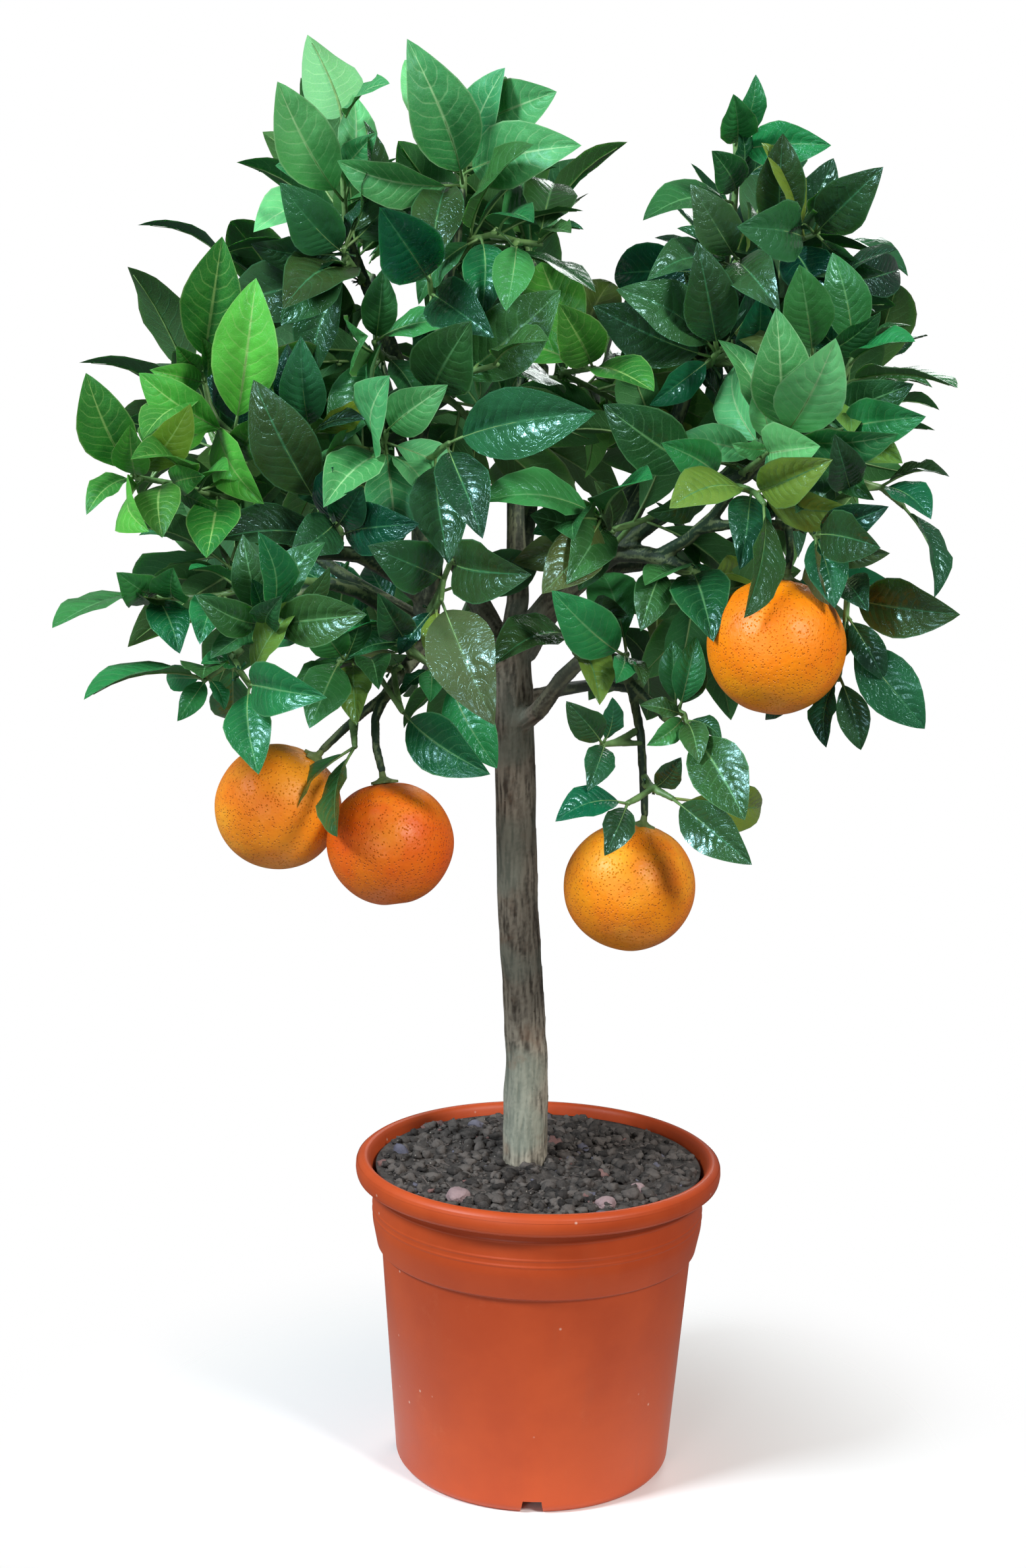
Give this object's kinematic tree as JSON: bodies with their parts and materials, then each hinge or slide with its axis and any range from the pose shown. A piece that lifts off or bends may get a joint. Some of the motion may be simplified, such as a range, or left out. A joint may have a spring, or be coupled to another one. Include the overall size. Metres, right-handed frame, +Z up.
{
  "type": "potted orange tree",
  "caption": "Young orange tree with a leafy round crown and ripe hanging fruit, on a bare trunk in a round terracotta-coloured nursery pot with a rolled lip.",
  "frame": {"origin": "centre of the pot's base, on the surface that it stands on", "axes": "+Z up along the trunk, -Y towards the front of the crown, +X to the right seen from the front"},
  "size_m": [0.5146, 0.4156, 0.8394],
  "materials": {
    "pot": "satin",
    "soil": "rough",
    "stone": "matte",
    "bark": "rough",
    "orange_peel": "satin",
    "calyx": "matte",
    "leaf_light": "satin",
    "leaf_bright": "satin",
    "leaf_mature": "gloss",
    "leaf_dark": "gloss"
  },
  "bodies": {
    "root": {"pot": "pot", "soil": "soil", "stone_1": "stone", "stone_2": "stone", "stone_3": "stone", "trunk_and_limbs": "bark", "orange_1": "orange_peel", "calyx_1": "calyx", "orange_2": "orange_peel", "calyx_2": "calyx", "orange_3": "orange_peel", "calyx_3": "calyx", "orange_4": "orange_peel", "calyx_4": "calyx", "shoot_crown_left_tip": "leaf_light", "shoot_crown_peak": "leaf_light", "shoot_crown_middle": "leaf_mature", "shoot_crown_left_dark": "leaf_dark", "shoot_upper_left": "leaf_mature", "shoot_second_stem": "leaf_dark", "shoot_green_stem": "leaf_light", "shoot_left_cluster": "leaf_bright", "shoot_level_branch": "leaf_dark", "shoot_heart": "leaf_mature", "shoot_front_centre": "leaf_dark", "shoot_leader_right": "leaf_bright", "shoot_right_fork_front": "leaf_mature", "shoot_left_fork_front": "leaf_dark", "shoot_right_top": "leaf_mature", "shoot_right_top_outer": "leaf_dark", "shoot_right_outer_high": "leaf_dark", "shoot_right_face": "leaf_dark", "shoot_right_outer": "leaf_mature", "shoot_right_fan": "leaf_light", "shoot_right_inner": "leaf_mature", "shoot_lower_right": "leaf_dark", "shoot_over_fourth_fruit": "leaf_dark", "shoot_low_left_far": "leaf_mature", "shoot_low_left": "leaf_mature", "shoot_low_left_inner": "leaf_mature", "shoot_between_fruits": "leaf_mature", "shoot_curled": "leaf_mature", "shoot_across_trunk": "leaf_dark", "shoot_right_low_tip": "leaf_mature", "shoot_right_branch_low": "leaf_mature", "shoot_right_hanging": "leaf_mature", "shoot_by_third_fruit": "leaf_dark", "shoot_third_fruit_left": "leaf_dark", "shoot_back_left_high": "leaf_mature", "shoot_back_left_out": "leaf_dark", "shoot_back_right_high": "leaf_dark", "shoot_back_right_out": "leaf_mature", "shoot_back_centre": "leaf_dark", "shoot_back_middle": "leaf_mature", "shoot_back_side_left": "leaf_dark", "shoot_back_side_right": "leaf_mature", "shoot_back_low_left": "leaf_mature", "shoot_back_low_right": "leaf_dark", "shoot_leader_top": "leaf_mature", "shoot_inner_right": "leaf_dark"}
  },
  "joints": []
}
